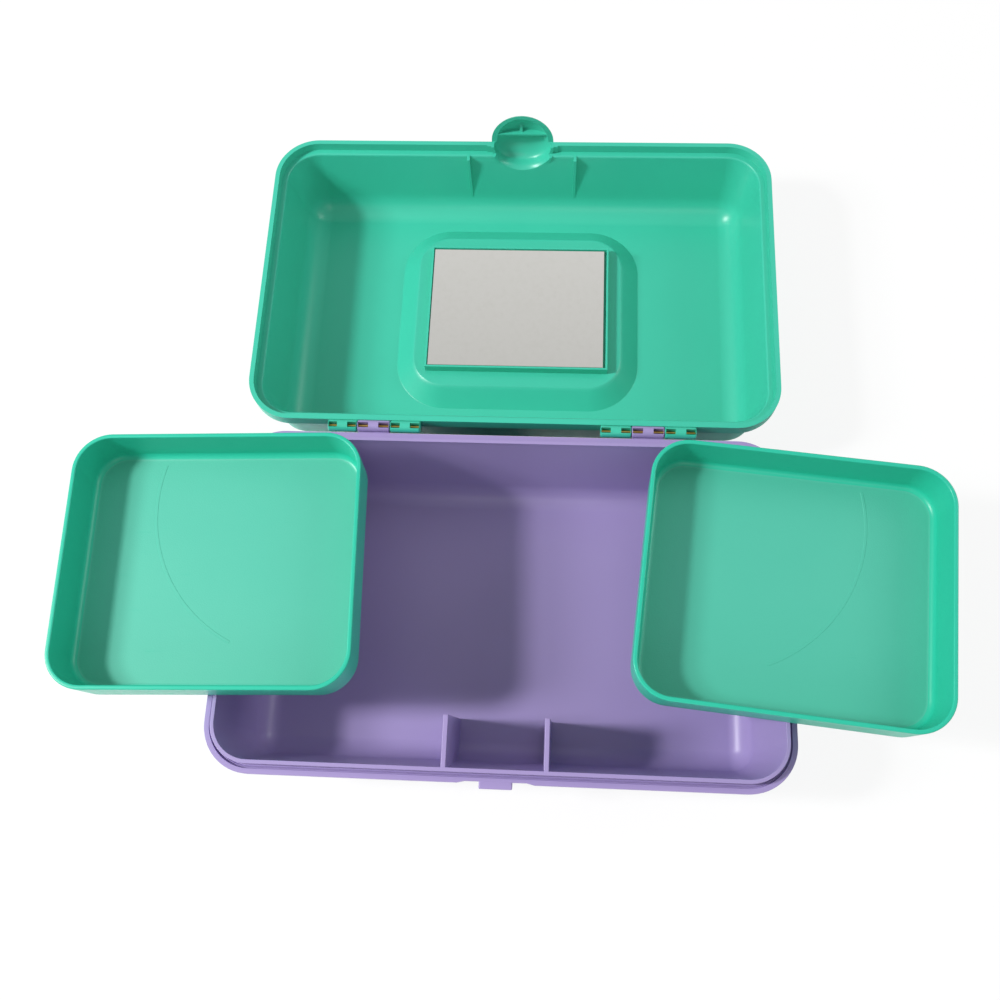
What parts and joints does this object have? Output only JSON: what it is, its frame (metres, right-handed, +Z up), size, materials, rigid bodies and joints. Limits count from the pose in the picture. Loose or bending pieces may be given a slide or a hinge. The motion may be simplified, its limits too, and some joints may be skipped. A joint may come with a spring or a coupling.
{
  "type": "makeup storage case with handle",
  "caption": "Hinged moulded case with a mirror in its lid, swing-out trays over a deep well, a spring latch and a folding carry handle.",
  "frame": {"origin": "on the table under the middle of the base", "axes": "+X across the case to its right, +Y from the latch side to the hinge, +Z up"},
  "size_m": [0.4829, 0.415, 0.1],
  "materials": {
    "base_plastic": "satin moulded, purple",
    "lid_plastic": "satin moulded, teal",
    "tray_plastic": "satin moulded, teal",
    "handle_plastic": "satin moulded, purple",
    "hinge_wire": "drawn wire",
    "steel": "zinc plated",
    "mirror": "silvered glass",
    "tape": "foam tape"
  },
  "bodies": {
    "base": {"base_shell": "base_plastic", "hinge_pin_left": "hinge_wire", "hinge_pin_right": "hinge_wire"},
    "lid": {"lid_shell": "lid_plastic", "mirror_glass": "mirror", "mirror_tape_upper": "tape", "mirror_tape_lower": "tape", "handle_pin_left": "steel", "handle_pin_right": "steel"},
    "latch": {"latch_tab": "lid_plastic"},
    "handle": {"handle": "handle_plastic"},
    "left_tray": {"tray_left": "tray_plastic", "tray_screw_left": "steel", "tray_washer_left": "steel"},
    "right_tray": {"tray_right": "tray_plastic", "tray_screw_right": "steel", "tray_washer_right": "steel"}
  },
  "joints": [
    {"name": "lid_hinge", "type": "hinge", "parent": "base", "child": "lid", "pos_m": [0, 0.1032, 0.0645], "axis": [1, 0, 0], "range_deg": [0, 180]},
    {"name": "tray_left_swing", "type": "hinge", "parent": "base", "child": "left_tray", "pos_m": [-0.11046, 0.05133, 0.07], "axis": [0, 0, 1], "range_deg": [0, 88.06]},
    {"name": "tray_right_swing", "type": "hinge", "parent": "base", "child": "right_tray", "pos_m": [0.11046, 0.05133, 0.07], "axis": [0, 0, 1], "range_deg": [-84.45, 0]},
    {"name": "latch_flex", "type": "hinge", "parent": "lid", "child": "latch", "pos_m": [0.0005, 0.3124, 0.0645], "axis": [-1, 0, 0], "range_deg": [0, 16], "stiffness_Nm_per_rad": 0.4},
    {"name": "handle_fold", "type": "hinge", "parent": "lid", "child": "handle", "pos_m": [0, 0.2064, 0.0097], "axis": [-1, 0, 0], "range_deg": [0, 90]}
  ],
  "couplings": [
    {"joint": "tray_left_swing", "follows": "lid_hinge", "ratio": 0.48922},
    {"joint": "tray_right_swing", "follows": "lid_hinge", "ratio": -0.46917}
  ]
}
